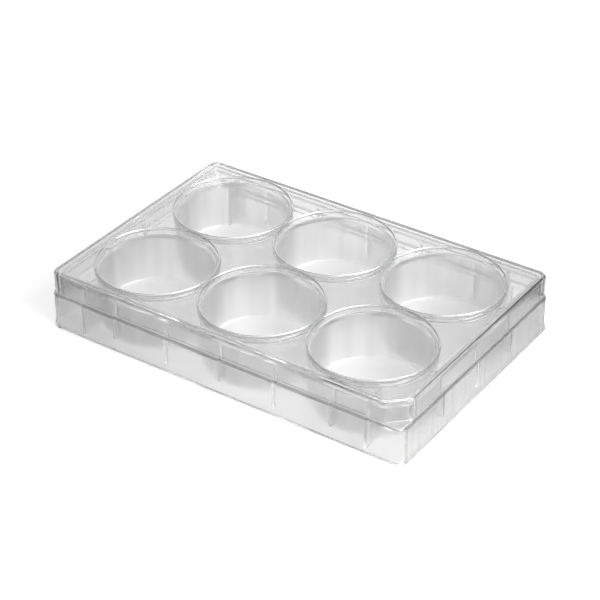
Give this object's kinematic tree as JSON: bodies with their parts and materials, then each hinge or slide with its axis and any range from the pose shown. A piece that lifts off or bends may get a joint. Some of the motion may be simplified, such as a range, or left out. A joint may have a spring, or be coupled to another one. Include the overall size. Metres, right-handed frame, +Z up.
{
  "type": "well plate",
  "caption": "Clear moulded culture plate with round flat-bottomed wells in two rows, a skirted foot and a loose lid with one cut corner.",
  "frame": {"origin": "middle of the footprint, on the surface the plate stands on", "axes": "+X along the long side towards the end with the cut corner, +Y along the short side away from the cut corner, +Z up"},
  "size_m": [0.1278, 0.0854, 0.0203],
  "materials": {
    "clear_plate": "clear, optically polished moulded polystyrene",
    "clear_lid": "clear, optically polished moulded polystyrene"
  },
  "bodies": {
    "root": {"plate": "clear_plate", "lid": "clear_lid"}
  },
  "joints": []
}
